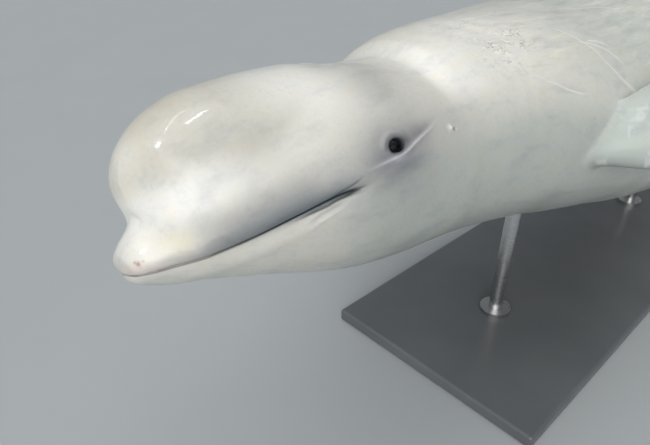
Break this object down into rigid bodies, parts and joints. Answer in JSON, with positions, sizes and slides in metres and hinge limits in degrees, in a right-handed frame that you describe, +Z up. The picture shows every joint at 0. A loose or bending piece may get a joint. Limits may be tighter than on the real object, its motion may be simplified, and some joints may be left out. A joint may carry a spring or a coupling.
{
  "type": "beluga whale display model",
  "caption": "Life-size white whale with rounded melon, short beak, paddle flippers and flukes, held on a flat base by two short rods.",
  "frame": {"origin": "centre of the underside of the stand's base", "axes": "+Z up; -X the way the whale swims, beak first; -Y its left side"},
  "size_m": [3.8734, 1.1372, 0.96],
  "materials": {
    "skin": "smooth, wet-looking ivory skin with pale mauve-grey round eye and mouth",
    "eye": "dark, polished",
    "stand_paint": "satin dark grey",
    "stand_steel": "brushed"
  },
  "bodies": {
    "root": {"head": "skin", "melon": "skin", "lower_jaw": "skin", "neck": "skin", "chest": "skin", "torso": "skin", "loin": "skin", "tail_stock": "skin", "dorsal_ridge": "skin", "flipper_left": "skin", "flipper_right": "skin", "fluke_left": "skin", "fluke_right": "skin", "eye_left": "eye", "eye_right": "eye", "stand_base": "stand_paint", "stand_rod_front": "stand_steel", "stand_rod_rear": "stand_steel", "stand_collar_front": "stand_steel", "stand_collar_rear": "stand_steel"}
  },
  "joints": []
}
